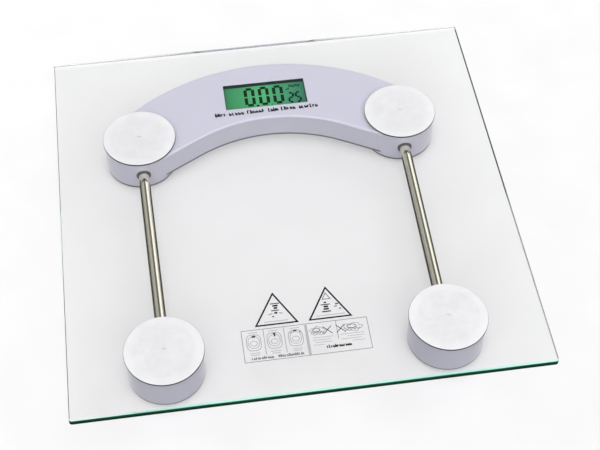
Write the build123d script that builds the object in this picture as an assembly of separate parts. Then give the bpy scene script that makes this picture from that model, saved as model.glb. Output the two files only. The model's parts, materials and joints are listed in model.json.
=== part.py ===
from build123d import *
import math
import os

# Digital bathroom scale, millimetres.
# Frame: +Z up, +Y towards the display, +X to the reader's right. The origin is on the floor under the
# centre of the glass. The load path runs glass, cap, pod, load cell, foot, rubber pad, floor.

# Glass platform
GLASS_WIDTH = 300.0
GLASS_DEPTH = 300.0
GLASS_THICKNESS = 5.0
GLASS_CORNER = 2.0
GLASS_ARRIS = 0.5

# Overall height and the heights that hang from it
HEIGHT = 32.0
BOND_THICKNESS = 0.4
CAP_THICKNESS = 1.4
ARCH_DROP = 2.0  # the arch's top face lies this far under the caps' top faces
POD_BOTTOM = 2.0
ARCH_BOTTOM = 6.0

# Pods: the four round housings under the glass, the back pair moulded into the display housing
POD_RADIUS = 24.7
WALL = 2.0
POD_EDGE = 0.5
FRONT_SPREAD = 90.0  # half the distance between the front pods
FRONT_SETBACK = 44.0  # front edge of the glass to the pods' centres
BACK_SPREAD = 93.0
BACK_SETBACK = 77.5

# Caps
CAP_OVERHANG = 0.6
CAP_EDGE = 0.4
CAP_DIMPLE_RADIUS = 1.5
CAP_DIMPLE_DEPTH = 0.25
CAP_BOSS_RADIUS = 3.5
CAP_BOSS_DEPTH = 1.9
CAP_BOSS_CLEARANCE = 0.2
BOND_INSET = 5.3  # the clear adhesive stops this far inside the cap's edge

# Display housing: a crescent between two arcs that runs into the back pods
ARCH_FRONT_GAP = 69.0  # back edge of the glass to the crescent's inner edge, on the centre line
ARCH_BACK_GAP = 15.5  # back edge of the glass to its outer edge
ARCH_NECK = 4.6  # the inner arc's circle passes this far outside a back pod
ARCH_SHOULDER = 2.735  # a back pod stands this far out of the outer arc
ARCH_EDGE = 1.6

# Display
LCD_VIEW_WIDTH = 59.0
LCD_VIEW_DEPTH = 24.0
LCD_SETBACK = 46.0  # back edge of the glass to the display's centre
LCD_MARGIN = 2.2
LCD_THICKNESS = 2.6
LCD_EDGE = 0.3
BACKLIGHT_THICKNESS = 2.0
LCD_FRAME_WALL = 2.6
STRIP_WIDTH = 2.0  # the rubber contact strip between board and panel
STRIP_GAP = 0.6
STRIP_END_GAP = 2.0

# Circuit board
PCB_WIDTH = 84.0
PCB_DEPTH = 36.0
PCB_THICKNESS = 1.6
PCB_GAP = 1.0  # board to backlight
PCB_SCREW_INSET = 3.0
PCB_BOSS_RADIUS = 2.2
CHIP_X = -12.0
CHIP_HEIGHT = 2.0
CHIP_DOME_RADIUS = 10.0
CAPACITOR_RADIUS = 2.0
CAPACITOR_HEIGHT = 4.5
CAPACITOR_PLACES = ((6.0, 9.0), (12.0, 9.0))  # from the board's centre
CRYSTAL_PLACE = (-28.0, 8.0)
CRYSTAL_SIZE = (9.0, 3.5, 3.0)
RESISTOR_COUNT = 5
RESISTOR_PITCH = 4.0
RESISTOR_PLACE = (-4.0, -12.0)  # the first of the row
RESISTOR_SIZE = (2.0, 1.2, 0.6)

# Load cell: a stamped steel plate with a U slot that frees a tongue
CELL_FIT = 0.315  # rounded corners of the cell to the pod's inner wall, which makes the cell 34.0 square
CELL_THICKNESS = 2.4
CELL_CORNER = 4.0
CELL_BOTTOM = 9.1
CELL_SLOT_WIDTH = 2.0
CELL_HOLE_RADIUS = 1.9
CELL_SCREW_INSET = 3.8
CELL_SLOT_CLEAR = 4.2  # the U slot's sides to the screws' centres
CELL_SCREW_CLEARANCE = 0.1
POST_RADIUS = 2.4
GAUGE_SIZE = (8.0, 4.5, 1.2)
GAUGE_CORNER = 1.8
GAUGE_EDGE = 0.7
GAUGE_OFFSET = 1.5  # the slot's end to the gauge's middle

# Foot
FOOT_CLEARANCE = 2.2  # foot to the pod's inner wall
FOOT_PLATE = 2.0
FOOT_EDGE = 0.6
FOOT_BOSS_RADIUS = 5.0
FOOT_RIB_WIDTH = 1.4
FOOT_RIB_HEIGHT = 1.6
FOOT_RIB_INSET = 3.0
FOOT_PIN_CLEARANCE = 0.2
FOOT_PIN_OVERHANG = 0.6
FOOT_PIN_PLAY = 0.2
FOOT_PIN_HEAD_HEIGHT = 1.0
PAD_INSET = 1.5  # pad's edge inside the foot's
PAD_THICKNESS = 2.4
PAD_EDGE = 0.6
PAD_GROOVE_DEPTH = 0.6
PAD_GROOVE_WIDTH = 2.0
PAD_GROOVE_INSETS = (4.0, 10.0)

# Tubes between front and back pods
TUBE_RADIUS = 3.75
TUBE_WALL = 0.5
TUBE_INSERT = 5.2  # the tube's end inside the pod's outer face
SOCKET_WALL = 1.5
SOCKET_LIP = 0.8
SOCKET_SET_BACK = 1.5  # the socket's end inside the pod's outer face
GROMMET_WALL = 1.3
GROMMET_DEPTH = 2.7
GROMMET_PROUD = 0.35

# Cables and leads
CABLE_RADIUS = 1.0
LEAD_RADIUS = 0.6
LEAD_PAST_SCREW = 3.34  # from a board screw's axis to the middle of the front lead
LEAD_BEND = 5.0  # past the coin's centre
LEAD_START = 1.0  # short of the coin's centre
BACK_LEAD_OFFSET = 4.0  # from the display's middle to where the back lead lands

# Coin cell and its well
COIN_RADIUS = 10.0
COIN_THICKNESS = 3.2
COIN_EDGE = 0.5
COIN_STEP = 0.3
COIN_STEP_INSET = 1.0
COIN_SETBACK = 54.0  # from the back edge of the glass
COIN_BESIDE_POD = 12.3  # from the left back pod's side to the coin's centre
COIN_CLEARANCE = 1.2
WELL_WALL = 1.5
WELL_ROOF = 1.0
CONTACT_GAUGE = 0.3
CONTACT_WIDTH = 5.0
CONTACT_CLEARANCE = 0.2
CONTACT_ROOM = 0.8
CONTACT_TAIL = 1.0  # above the well's roof
CONTACT_LIFT = 0.8  # lower end of the strip above the coin's underside
FINGER_SIZE = 1.4
FINGER_SPREAD = 1.7
FINGER_OFFSET = 1.0
LEAF_END = 0.5  # how far the leaf runs past the coin's centre, and past its rim

# Battery door
DOOR_WIDTH = 27.0
DOOR_DEPTH = 24.0
DOOR_THICKNESS = 1.6
DOOR_CORNER = 2.0
DOOR_CLEARANCE = 0.3
DOOR_SEAT_GAP = 0.1
DOOR_PIN_RADIUS = 0.5
DOOR_PIN_LENGTH = 1.2
PIN_CLEARANCE = 0.05
PIN_END_GAP = 0.2
COIN_DOOR_GAP = 0.3
DOOR_GROOVE = (2.0, 12.0, 0.6)
DOOR_GROOVE_INSET = 4.0

# Unit button and its switch
BUTTON_X = 22.0
BUTTON_SETBACK = 52.0  # from the back edge of the glass
BUTTON_RADIUS = 3.4
BUTTON_EDGE = 0.4
BUTTON_RECESS = 0.3
BUTTON_FLANGE = 1.2
BUTTON_FLANGE_HEIGHT = 1.0
BUTTON_PLAY = 0.1
BUTTON_CLEARANCE = 0.2
BUTTON_TRAVEL = 0.8
SWITCH_SIZE = 6.0
SWITCH_HEIGHT = 3.5
SWITCH_BORE = 2.4
PLUNGER_RADIUS = 1.7
PLUNGER_CLEARANCE = 0.08
PLUNGER_END_GAP = 0.1  # left in the bore at the end of the button's travel

# Fasteners
SCREW_RADIUS = 1.3
SCREW_TIP_GAP = 1.0
SCREW_CLEARANCE = 0.2
HEAD_RADIUS = 2.4
HEAD_HEIGHT = 1.2
HEAD_CLEARANCE = 0.3
SCREW_RECESS = (3.0, 0.6)
CELL_SCREW_BITE = 5.0
PCB_SCREW_BITE = 3.0
CAP_SCREW_RADIUS = 1.5
CAP_SCREW_TIP_GAP = 0.2
CAP_HEAD_RADIUS = 5.0
CAP_HEAD_HEIGHT = 1.6
CAP_RECESS = (5.0, 1.0)
BOSS_RADIUS = 3.0
BOSS_GAP = 2.5  # a cover screw's boss to the crescent's wall
COVER_SCREW_LENGTH = 7.0
COVER_SCREW_REACH = 9.7  # from a back pod's side to the screw beside it
COVER_SCREW_TURN = 125.5  # and its direction from the right pod's centre, in degrees
COVER_SCREW_SPREAD = 48.0  # half the distance between the two at the inner edge
COVER_CLEARANCE = 0.2

SCREW_HEAD = (HEAD_RADIUS, HEAD_HEIGHT)
CAP_HEAD = (CAP_HEAD_RADIUS, CAP_HEAD_HEIGHT)

# For shaping only
LAP = 0.1  # how far fused shapes run into each other
PAST = 2.0  # how far a cutting shape runs past the face that it cuts

# Heights that follow
GLASS_BOTTOM = HEIGHT - GLASS_THICKNESS
CAP_TOP = GLASS_BOTTOM - BOND_THICKNESS
POD_TOP = CAP_TOP - CAP_THICKNESS
POD_CEILING = POD_TOP - WALL
ARCH_TOP = CAP_TOP - ARCH_DROP
ARCH_CEILING = ARCH_TOP - WALL
COVER_TOP = ARCH_BOTTOM + WALL
LCD_BOTTOM = ARCH_CEILING - LCD_THICKNESS
BACKLIGHT_BOTTOM = LCD_BOTTOM - BACKLIGHT_THICKNESS
PCB_TOP = BACKLIGHT_BOTTOM - PCB_GAP
PCB_BOTTOM = PCB_TOP - PCB_THICKNESS
TUBE_HEIGHT = PCB_BOTTOM - CABLE_RADIUS  # so that a cable runs straight out of the tube to the board
CELL_TOP = CELL_BOTTOM + CELL_THICKNESS
FOOT_TOP = PAD_THICKNESS + FOOT_PLATE
COIN_BOTTOM = ARCH_BOTTOM + DOOR_THICKNESS + COIN_DOOR_GAP
COIN_TOP = COIN_BOTTOM + COIN_THICKNESS
WELL_CEILING = COIN_TOP + CONTACT_ROOM
WELL_TOP = WELL_CEILING + WELL_ROOF

# Places in plan that follow
BACK_EDGE = GLASS_DEPTH / 2
FRONT_Y = -BACK_EDGE + FRONT_SETBACK
BACK_Y = BACK_EDGE - BACK_SETBACK
LCD_Y = BACK_EDGE - LCD_SETBACK
CAP_RADIUS = POD_RADIUS + CAP_OVERHANG
CELL_SIZE = 2 * ((POD_RADIUS - WALL - CELL_FIT - CELL_CORNER) / math.sqrt(2) + CELL_CORNER)
CELL_SCREW_OFFSET = CELL_SIZE / 2 - CELL_SCREW_INSET
CELL_SLOT_REACH = CELL_SCREW_OFFSET - CELL_SLOT_CLEAR
CELL_GAUGE_Y = CELL_SLOT_REACH + GAUGE_OFFSET
FOOT_RADIUS = POD_RADIUS - WALL - FOOT_CLEARANCE
PAD_RADIUS = FOOT_RADIUS - PAD_INSET
TUBE_END = POD_RADIUS - TUBE_INSERT
GROMMET_RADIUS = TUBE_RADIUS + GROMMET_WALL
SIDES = {"left": -1, "right": 1}
PODS = {
    f"{row}_{side}": (sign * spread, y)
    for row, spread, y in (("front", FRONT_SPREAD, FRONT_Y), ("back", BACK_SPREAD, BACK_Y))
    for side, sign in SIDES.items()
}
LCD_WIDTH = LCD_VIEW_WIDTH + 2 * LCD_MARGIN
LCD_DEPTH = LCD_VIEW_DEPTH + 2 * LCD_MARGIN
PCB_SCREWS = [
    (sx * (PCB_WIDTH / 2 - PCB_SCREW_INSET), LCD_Y + sy * (PCB_DEPTH / 2 - PCB_SCREW_INSET))
    for sx in (-1, 1)
    for sy in (-1, 1)
]
COIN_X = -(BACK_SPREAD - POD_RADIUS - COIN_BESIDE_POD)
COIN_Y = BACK_EDGE - COIN_SETBACK
BUTTON_Y = BACK_EDGE - BUTTON_SETBACK
DOOR_HINGE_X = COIN_X - DOOR_WIDTH / 2 + DOOR_THICKNESS / 2
DOOR_HINGE_Z = ARCH_BOTTOM + DOOR_THICKNESS / 2


def arc_past_pods(crossing_y, reach):
    """Radius of the arc that is centred on x = 0, crosses x = 0 at crossing_y and passes a back pod's
    centre at the distance reach, which is negative where the centre lies inside the arc."""
    drop = BACK_Y - crossing_y
    return (BACK_SPREAD**2 + drop**2 - reach**2) / (2 * (reach - drop))


ARCH_OUTER_RADIUS = arc_past_pods(BACK_EDGE - ARCH_BACK_GAP, ARCH_SHOULDER - POD_RADIUS)
ARCH_INNER_RADIUS = arc_past_pods(BACK_EDGE - ARCH_FRONT_GAP, POD_RADIUS + ARCH_NECK)
ARCH_OUTER_Y = BACK_EDGE - ARCH_BACK_GAP - ARCH_OUTER_RADIUS
ARCH_INNER_Y = BACK_EDGE - ARCH_FRONT_GAP - ARCH_INNER_RADIUS


def disc(x, y, low, high, radius):
    return Pos(x, y, low) * Cylinder(radius, high - low, align=(Align.CENTER, Align.CENTER, Align.MIN))


def slab(x, y, low, high, width, depth):
    return Pos(x, y, low) * Box(width, depth, high - low, align=(Align.CENTER, Align.CENTER, Align.MIN))


def rod(start, end, radius):
    """A round bar from one point to another."""
    along = Vector(*end) - Vector(*start)
    frame = Plane(origin=start, z_dir=along)
    return frame * Cylinder(radius, along.length, align=(Align.CENTER, Align.CENTER, Align.MIN))


def around(centre, radius, degrees):
    turn = math.radians(degrees)
    return (centre[0] + radius * math.cos(turn), centre[1] + radius * math.sin(turn))


def circles_meet(radius_a, centre_b, radius_b):
    """Where a circle on the centre line, at (0, 0), meets another: the angle from the first centre."""
    gap = math.hypot(*centre_b)
    opening = math.acos((gap**2 + radius_a**2 - radius_b**2) / (2 * gap * radius_a))
    return math.degrees(math.atan2(centre_b[1], centre_b[0]) + opening)


def arch_outline(inset):
    """The crescent's outline, moved inwards by inset: outer arc, pod arcs, straight tangents, inner arc."""
    pod_radius = POD_RADIUS - inset
    outer_radius = ARCH_OUTER_RADIUS - inset
    inner_radius = ARCH_INNER_RADIUS + inset
    outer = (0, ARCH_OUTER_Y)
    inner = (0, ARCH_INNER_Y)
    pod = PODS["back_right"]
    meet = around(outer, outer_radius, circles_meet(outer_radius, (pod[0], pod[1] - outer[1]), pod_radius))
    lean = math.degrees(math.atan2(pod[1] - inner[1], pod[0]))
    gap = math.hypot(pod[0], pod[1] - inner[1])
    turn = lean + math.degrees(math.acos((inner_radius + pod_radius) / gap))
    leaves = around(inner, inner_radius, turn)
    lands = around(pod, pod_radius, turn + 180)
    meet_angle = math.degrees(math.atan2(meet[1] - pod[1], meet[0] - pod[0]))
    round_pod = around(pod, pod_radius, (meet_angle + turn - 180) / 2)

    def left(point):
        return (-point[0], point[1])

    return Wire(
        [
            ThreePointArc(left(meet), around(outer, outer_radius, 90), meet),
            ThreePointArc(meet, round_pod, lands),
            Line(lands, leaves),
            ThreePointArc(leaves, around(inner, inner_radius, 90), left(leaves)),
            Line(left(leaves), left(lands)),
            ThreePointArc(left(lands), left(round_pod), left(meet)),
        ]
    )


def arch(inset, low, high):
    return extrude(Pos(0, 0, low) * Face(arch_outline(inset)), amount=high - low, dir=(0, 0, 1))


def tube_ends(side):
    """Both pod centres that a tube joins, at the tube's height, and the unit vector from front to back."""
    front = Vector(*PODS[f"front_{side}"], TUBE_HEIGHT)
    back = Vector(*PODS[f"back_{side}"], TUBE_HEIGHT)
    return front, back, (back - front).normalized()


def pod_towards(place):
    """A pod's centre at the tube's height, and the unit vector from it along its tube."""
    row, side = place.split("_")
    front, back, along = tube_ends(side)
    return (front, along) if row == "front" else (back, along * -1)


def cell_corners(place):
    x, y = PODS[place]
    return [(x + sx * CELL_SCREW_OFFSET, y + sy * CELL_SCREW_OFFSET) for sx in (-1, 1) for sy in (-1, 1)]


def add_pod_fittings(shell, place):
    """Posts for the load cell, the tube's socket, and the holes for cap boss, screws, tube and grommet."""
    x, y = PODS[place]
    centre, along = pod_towards(place)
    for px, py in cell_corners(place):
        shell += disc(px, py, CELL_TOP, POD_CEILING + WALL / 2, POST_RADIUS)
    socket_start = centre + along * (TUBE_END - SOCKET_LIP)
    shell += rod(socket_start, centre + along * (POD_RADIUS - SOCKET_SET_BACK), TUBE_RADIUS + SOCKET_WALL)
    for px, py in cell_corners(place):
        shell -= disc(px, py, CELL_TOP, CELL_TOP + CELL_SCREW_BITE + SCREW_TIP_GAP, SCREW_RADIUS)
    outside = centre + along * (POD_RADIUS + PAST)
    shell -= rod(centre + along * TUBE_END, outside, TUBE_RADIUS)
    shell -= rod(socket_start, outside, TUBE_RADIUS - SOCKET_LIP)
    shell -= rod(centre + along * (POD_RADIUS - GROMMET_DEPTH), outside, GROMMET_RADIUS)
    shell -= disc(x, y, POD_CEILING, POD_TOP, CAP_BOSS_RADIUS + CAP_BOSS_CLEARANCE)
    return shell


def glass_platform():
    plate = slab(0, 0, GLASS_BOTTOM, HEIGHT, GLASS_WIDTH, GLASS_DEPTH)
    plate = fillet(plate.edges().filter_by(Axis.Z), GLASS_CORNER)
    rims = plate.faces().filter_by(Axis.Z).edges()
    return chamfer(rims, GLASS_ARRIS)


def bond_pad(place):
    return disc(*PODS[place], CAP_TOP, GLASS_BOTTOM, CAP_RADIUS - BOND_INSET)


def cap(place):
    x, y = PODS[place]
    plate = disc(x, y, POD_TOP, CAP_TOP, CAP_RADIUS)
    plate = fillet(plate.edges(), CAP_EDGE)
    plate -= disc(x, y, CAP_TOP - CAP_DIMPLE_DEPTH, CAP_TOP, CAP_DIMPLE_RADIUS)
    plate += disc(x, y, POD_TOP - CAP_BOSS_DEPTH, POD_TOP + LAP, CAP_BOSS_RADIUS)
    return plate - disc(x, y, POD_TOP - CAP_BOSS_DEPTH, POD_TOP + CAP_THICKNESS / 2, CAP_SCREW_RADIUS)


def cross_screw(place, bearing, length, radius=SCREW_RADIUS, head=SCREW_HEAD, recess=SCREW_RECESS):
    """A cross-head screw pointing up, with the underside of its head at bearing."""
    x, y = place
    head_radius, head_height = head
    screw = disc(x, y, bearing - head_height, bearing, head_radius)
    screw += disc(x, y, bearing, bearing + length, radius)
    long, short = recess
    for width, depth in ((long, short), (short, long)):
        screw -= slab(x, y, bearing - head_height, bearing - head_height / 2, width, depth)
    return screw


def cap_screw(place):
    length = WALL + CAP_THICKNESS / 2 - CAP_SCREW_TIP_GAP
    return cross_screw(PODS[place], POD_CEILING, length, CAP_SCREW_RADIUS, CAP_HEAD, CAP_RECESS)


def front_pod(place):
    x, y = PODS[place]
    shell = disc(x, y, POD_BOTTOM, POD_TOP, POD_RADIUS)
    shell = chamfer(shell.faces().sort_by(Axis.Z)[0].edges(), POD_EDGE)
    shell -= disc(x, y, POD_BOTTOM, POD_CEILING, POD_RADIUS - WALL)
    return add_pod_fittings(shell, place)


def cover_screw_places():
    """Five places round the crescent: beside each pod, inside the front edge, and at the middle back."""
    from_edge = WALL + BOSS_RADIUS + BOSS_GAP
    middle = (0, BACK_EDGE - ARCH_BACK_GAP - from_edge)
    near_pod = around(PODS["back_right"], POD_RADIUS + COVER_SCREW_REACH, COVER_SCREW_TURN)
    inner_turn = 90 - math.degrees(math.asin(COVER_SCREW_SPREAD / ARCH_INNER_RADIUS))
    at_front = around((0, ARCH_INNER_Y), ARCH_INNER_RADIUS + from_edge, inner_turn)
    return [middle] + [(sign * x, y) for sign in (-1, 1) for x, y in (near_pod, at_front)]


def display_housing():
    shell = arch(0, ARCH_BOTTOM, ARCH_TOP)
    shell = fillet(shell.faces().sort_by(Axis.Z)[-1].edges(), ARCH_EDGE)
    backs = ("back_left", "back_right")
    for place in backs:
        x, y = PODS[place]
        shell += disc(x, y, POD_BOTTOM, POD_TOP, POD_RADIUS)
    hollow = arch(WALL, ARCH_BOTTOM, ARCH_CEILING)
    for place in backs:
        x, y = PODS[place]
        hollow -= disc(x, y, ARCH_BOTTOM, COVER_TOP, POD_RADIUS)
        hollow += disc(x, y, POD_BOTTOM, POD_CEILING, POD_RADIUS - WALL)
    shell -= hollow
    for place in backs:
        shell = add_pod_fittings(shell, place)
    shell -= slab(0, LCD_Y, ARCH_CEILING, ARCH_TOP, LCD_VIEW_WIDTH, LCD_VIEW_DEPTH)
    for x, y in cover_screw_places():
        shell += disc(x, y, COVER_TOP, ARCH_CEILING + WALL / 2, BOSS_RADIUS)
        shell -= disc(x, y, COVER_TOP, COVER_TOP + COVER_SCREW_LENGTH, SCREW_RADIUS)
    for x, y in PCB_SCREWS:
        shell += disc(x, y, PCB_TOP, ARCH_CEILING + WALL / 2, PCB_BOSS_RADIUS)
        shell -= disc(x, y, PCB_TOP, PCB_TOP + PCB_SCREW_BITE + SCREW_TIP_GAP, SCREW_RADIUS)
    return shell


def housing_cover():
    """The crescent's underside: a plate with the battery well, the door's seat and the button's hole."""
    plate = arch(WALL + COVER_CLEARANCE, ARCH_BOTTOM, COVER_TOP)
    for place in ("back_left", "back_right"):
        plate -= disc(*PODS[place], ARCH_BOTTOM, COVER_TOP, POD_RADIUS + COVER_CLEARANCE)
    inside = COIN_RADIUS + COIN_CLEARANCE
    plate += disc(COIN_X, COIN_Y, ARCH_BOTTOM, WELL_TOP, inside + WELL_WALL)
    plate -= disc(COIN_X, COIN_Y, ARCH_BOTTOM, WELL_CEILING, inside)
    seat_top = ARCH_BOTTOM + DOOR_THICKNESS + DOOR_SEAT_GAP
    seat_width = DOOR_WIDTH + 2 * DOOR_CLEARANCE
    seat_depth = DOOR_DEPTH + 2 * DOOR_CLEARANCE
    plate -= slab(COIN_X, COIN_Y, ARCH_BOTTOM, seat_top, seat_width, seat_depth)
    reach = DOOR_DEPTH / 2 + DOOR_PIN_LENGTH + PIN_END_GAP
    pin_ends = [(DOOR_HINGE_X, COIN_Y + sign * reach, DOOR_HINGE_Z) for sign in (-1, 1)]
    plate -= rod(*pin_ends, DOOR_PIN_RADIUS + PIN_CLEARANCE)
    slot_width = CONTACT_WIDTH + 2 * CONTACT_CLEARANCE
    slot_depth = CONTACT_GAUGE + 2 * CONTACT_CLEARANCE
    for sign in (-1, 1):
        slot_y = COIN_Y + sign * (COIN_RADIUS + CONTACT_GAUGE / 2)
        plate -= slab(COIN_X, slot_y, WELL_CEILING, WELL_TOP, slot_width, slot_depth)
    plate -= disc(BUTTON_X, BUTTON_Y, ARCH_BOTTOM, COVER_TOP, BUTTON_RADIUS + BUTTON_CLEARANCE)
    for x, y in cover_screw_places():
        plate -= disc(x, y, ARCH_BOTTOM, COVER_TOP, SCREW_RADIUS + SCREW_CLEARANCE)
        plate -= disc(x, y, ARCH_BOTTOM, ARCH_BOTTOM + HEAD_HEIGHT, HEAD_RADIUS + HEAD_CLEARANCE)
    return plate


def group(solids):
    return Compound(children=[s for part in solids for s in part.solids()])


def load_cell(place):
    """Square steel plate. A U slot leaves a tongue that joins the frame on the +Y side."""
    x, y = PODS[place]
    plate = slab(x, y, CELL_BOTTOM, CELL_TOP, CELL_SIZE, CELL_SIZE)
    plate = fillet(plate.edges().filter_by(Axis.Z), CELL_CORNER)
    slot_side = 2 * CELL_SLOT_REACH
    slot = slab(x, y - CELL_SLOT_WIDTH / 2, CELL_BOTTOM, CELL_TOP, slot_side, slot_side)
    tongue_width = slot_side - 2 * CELL_SLOT_WIDTH
    slot -= slab(x, y + CELL_SLOT_WIDTH / 2, CELL_BOTTOM, CELL_TOP, tongue_width, slot_side)
    plate -= slot
    plate -= disc(x, y, CELL_BOTTOM, CELL_TOP, CELL_HOLE_RADIUS)
    for px, py in cell_corners(place):
        plate -= disc(px, py, CELL_BOTTOM, CELL_TOP, SCREW_RADIUS + CELL_SCREW_CLEARANCE)
    return plate


def strain_gauge(place):
    """A blob of white sealant over the gauge at the tongue's root."""
    x, y = PODS[place]
    width, depth, height = GAUGE_SIZE
    blob = slab(x, y + CELL_GAUGE_Y, CELL_TOP, CELL_TOP + height, width, depth)
    blob = fillet(blob.edges().filter_by(Axis.Z), GAUGE_CORNER)
    return fillet(blob.faces().sort_by(Axis.Z)[-1].edges(), GAUGE_EDGE)


def foot(place):
    """The moving foot: a dished plate, a boss under the tongue, and a headed pin through its hole."""
    x, y = PODS[place]
    body = disc(x, y, PAD_THICKNESS, FOOT_TOP, FOOT_RADIUS)
    body = fillet(body.faces().sort_by(Axis.Z)[-1].edges(), FOOT_EDGE)
    body += disc(x, y, FOOT_TOP, CELL_BOTTOM, FOOT_BOSS_RADIUS)
    rib_length = 2 * (FOOT_RADIUS - FOOT_RIB_INSET)
    rib = slab(0, 0, FOOT_TOP, FOOT_TOP + FOOT_RIB_HEIGHT, rib_length, FOOT_RIB_WIDTH)
    for turn in (45, 135):
        body += Pos(x, y, 0) * Rot(0, 0, turn) * rib
    pin_radius = CELL_HOLE_RADIUS - FOOT_PIN_CLEARANCE
    head_bottom = CELL_TOP + FOOT_PIN_PLAY
    head_top = head_bottom + FOOT_PIN_HEAD_HEIGHT
    body += disc(x, y, CELL_BOTTOM, head_top, pin_radius)
    return body + disc(x, y, head_bottom, head_top, pin_radius + FOOT_PIN_OVERHANG)


def rubber_pad(place):
    x, y = PODS[place]
    pad = disc(x, y, 0, PAD_THICKNESS, PAD_RADIUS)
    pad = chamfer(pad.faces().sort_by(Axis.Z)[0].edges(), PAD_EDGE)
    for inset in PAD_GROOVE_INSETS:
        outer = PAD_RADIUS - inset
        groove = disc(x, y, 0, PAD_GROOVE_DEPTH, outer)
        pad -= groove - disc(x, y, 0, PAD_GROOVE_DEPTH, outer - PAD_GROOVE_WIDTH)
    return pad


def tube(side):
    front, back, along = tube_ends(side)
    start = front + along * TUBE_END
    end = back - along * TUBE_END
    return rod(start, end, TUBE_RADIUS) - rod(start, end, TUBE_RADIUS - TUBE_WALL)


def tube_grommet(place):
    """A ring round the tube where it enters the pod, its outer face following the pod's wall."""
    centre, along = pod_towards(place)
    start = centre + along * (POD_RADIUS - GROMMET_DEPTH)
    end = centre + along * (POD_RADIUS + PAST)
    ring = rod(start, end, GROMMET_RADIUS) - rod(start, end, TUBE_RADIUS)
    return ring & disc(*PODS[place], POD_BOTTOM, POD_TOP, POD_RADIUS + GROMMET_PROUD)


def along_route(points, radius):
    """A round wire along straight runs joined by arcs as large as the runs allow."""
    runs = [Vector(*p) for p in points]
    bends = []
    for before, here, after in zip(runs, runs[1:], runs[2:]):
        turn = math.radians((here - before).get_angle(after - here))
        shorter = min((here - before).length, (after - here).length)
        bends.append(0.45 * shorter / math.tan(turn / 2))
    path = FilletPolyline(*runs, radius=bends) if bends else Line(*runs)
    section = Plane(origin=runs[0], z_dir=runs[1] - runs[0]) * Circle(radius)
    return sweep(section, path=path)


def cell_cable(place):
    """From the gauge to the board: the front pair run through the tubes, the back pair straight across."""
    row, side = place.split("_")
    sign = SIDES[side]
    x, y = PODS[place]
    front, back, along = tube_ends(side)
    level = PCB_BOTTOM - CABLE_RADIUS
    gauge_level = CELL_TOP + GAUGE_SIZE[2] + CABLE_RADIUS
    board_edge = PCB_WIDTH / 2 - 4
    if row == "front":
        start = (x, y + CELL_GAUGE_Y - 1, gauge_level)
        inside = back - along * (TUBE_END - 3)
        turn = (back.X - sign * 14, back.Y + 2)
        points = [
            start,
            front + along * (TUBE_END + 2),
            (inside.X, inside.Y, level),
            (*turn, level),
            (sign * (board_edge + 20), LCD_Y - 9, level),
            (sign * board_edge, LCD_Y - 8, level),
        ]
    else:
        points = [
            (x - sign * 1, y + CELL_GAUGE_Y - 1, gauge_level),
            (x - sign * 11, y + 5, level),
            (sign * (board_edge + 24), LCD_Y - 7, level),
            (sign * board_edge, LCD_Y - 2, level),
        ]
    return along_route(points, CABLE_RADIUS)


def main_pcb():
    board = slab(0, LCD_Y, PCB_BOTTOM, PCB_TOP, PCB_WIDTH, PCB_DEPTH)
    for x, y in PCB_SCREWS:
        board -= disc(x, y, PCB_BOTTOM, PCB_TOP, SCREW_RADIUS + SCREW_CLEARANCE)
    return board


def controller_chip():
    """The controller under its drop of black resin, on the board's underside."""
    lowest = -CHIP_DOME_RADIUS
    width = 2 * CHIP_DOME_RADIUS
    drop = Sphere(CHIP_DOME_RADIUS) & slab(0, 0, lowest, lowest + CHIP_HEIGHT, width, width)
    return Pos(CHIP_X, LCD_Y, PCB_BOTTOM - CHIP_HEIGHT - lowest) * drop


def board_components():
    """Two capacitors, a crystal and a row of resistors on the board's underside."""
    parts = [
        disc(x, LCD_Y + y, PCB_BOTTOM - CAPACITOR_HEIGHT, PCB_BOTTOM, CAPACITOR_RADIUS)
        for x, y in CAPACITOR_PLACES
    ]
    width, depth, height = CRYSTAL_SIZE
    x, y = CRYSTAL_PLACE
    parts.append(slab(x, LCD_Y + y, PCB_BOTTOM - height, PCB_BOTTOM, width, depth))
    width, depth, height = RESISTOR_SIZE
    first_x, y = RESISTOR_PLACE
    for place in range(RESISTOR_COUNT):
        x = first_x + place * RESISTOR_PITCH
        parts.append(slab(x, LCD_Y + y, PCB_BOTTOM - height, PCB_BOTTOM, width, depth))
    return group(parts)


def lcd_panel():
    panel = slab(0, LCD_Y, LCD_BOTTOM, ARCH_CEILING, LCD_WIDTH, LCD_DEPTH)
    return chamfer(panel.faces().sort_by(Axis.Z)[-1].edges(), LCD_EDGE)


def lcd_backlight():
    """A light guide under the panel, short of its back edge so that the contact strip fits there."""
    free = STRIP_WIDTH + STRIP_GAP
    return slab(0, LCD_Y - free / 2, BACKLIGHT_BOTTOM, LCD_BOTTOM, LCD_WIDTH, LCD_DEPTH - free)


def contact_strip():
    """The rubber strip that joins the board to the panel's back edge."""
    y = LCD_Y + LCD_DEPTH / 2 - STRIP_WIDTH / 2
    return slab(0, y, PCB_TOP, LCD_BOTTOM, LCD_WIDTH - 2 * STRIP_END_GAP, STRIP_WIDTH)


def lcd_frame():
    wall = 2 * LCD_FRAME_WALL
    outer = slab(0, LCD_Y, PCB_TOP, ARCH_CEILING, LCD_WIDTH + wall, LCD_DEPTH + wall)
    return outer - slab(0, LCD_Y, PCB_TOP, ARCH_CEILING, LCD_WIDTH, LCD_DEPTH)


def coin_cell():
    body = disc(COIN_X, COIN_Y, COIN_BOTTOM, COIN_TOP - COIN_STEP, COIN_RADIUS)
    body = fillet(body.faces().sort_by(Axis.Z)[0].edges(), COIN_EDGE)
    return body + disc(COIN_X, COIN_Y, COIN_TOP - COIN_STEP, COIN_TOP, COIN_RADIUS - COIN_STEP_INSET)


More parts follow.
